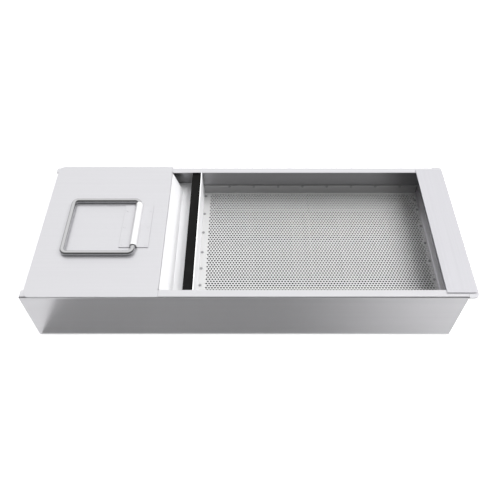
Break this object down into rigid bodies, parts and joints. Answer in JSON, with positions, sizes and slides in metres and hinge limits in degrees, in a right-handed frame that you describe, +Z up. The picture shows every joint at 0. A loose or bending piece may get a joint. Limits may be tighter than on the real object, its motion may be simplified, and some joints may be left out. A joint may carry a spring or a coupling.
{
  "type": "sluice box",
  "caption": "Long shallow metal sluice box with a perforated classifier screen, loose head lid with folding bail handle, rubber gap seal, tail plate and slide-out riffle tray.",
  "frame": {"origin": "middle of the overall footprint, on the resting face", "axes": "+X from the head (lid) end to the tail (discharge) end, +Y to the rear wall, +Z up"},
  "size_m": [0.614, 0.248, 0.1104],
  "materials": {
    "steel": "satin sheet",
    "screen": "perforated satin sheet",
    "rod": "polished round rod",
    "rivet": "plain",
    "seal": "matt",
    "mat": "ribbed"
  },
  "bodies": {
    "trough": {"trough_shell": "steel", "head_wall": "steel", "tail_wall": "steel", "spill_ledge": "steel", "gap_seal": "seal", "divider_plate": "steel", "screen_sheet": "screen", "rear_rail": "steel", "front_rail": "steel", "rear_rail_rivets": "rivet", "front_rail_rivets": "rivet", "tail_rail": "steel", "tail_rail_rivets": "rivet", "screen_head_rivets": "rivet", "screen_tail_rivets": "rivet", "cross_bar": "steel"},
    "lid": {"head_lid": "steel", "bail_strap": "steel", "strap_rivets": "rivet"},
    "bail": {"bail_handle": "rod"},
    "tail_cover": {"tail_plate": "steel"},
    "riffle_tray": {"tray_pan": "steel", "ribbed_mat": "mat", "riffle_rail_rear": "steel", "riffle_rail_front": "steel", "riffle_bar_1": "steel", "riffle_bar_2": "steel", "riffle_bar_3": "steel", "riffle_bar_4": "steel", "riffle_bar_5": "steel", "riffle_bar_6": "steel", "riffle_bar_7": "steel"}
  },
  "joints": [
    {"name": "lid_lift", "type": "slide", "parent": "trough", "child": "lid", "axis": [0, 0, 1], "range_m": [0, 0.12]},
    {"name": "bail_pivot", "type": "hinge", "parent": "lid", "child": "bail", "pos_m": [-0.1645, -0.0034, 0.1053], "axis": [0, 1, 0], "range_deg": [0, 180]},
    {"name": "tail_plate_lift", "type": "slide", "parent": "trough", "child": "tail_cover", "axis": [0, 0, 1], "range_m": [0, 0.06]},
    {"name": "tray_slide", "type": "slide", "parent": "trough", "child": "riffle_tray", "axis": [1, 0, 0], "range_m": [0, 0.4]}
  ]
}
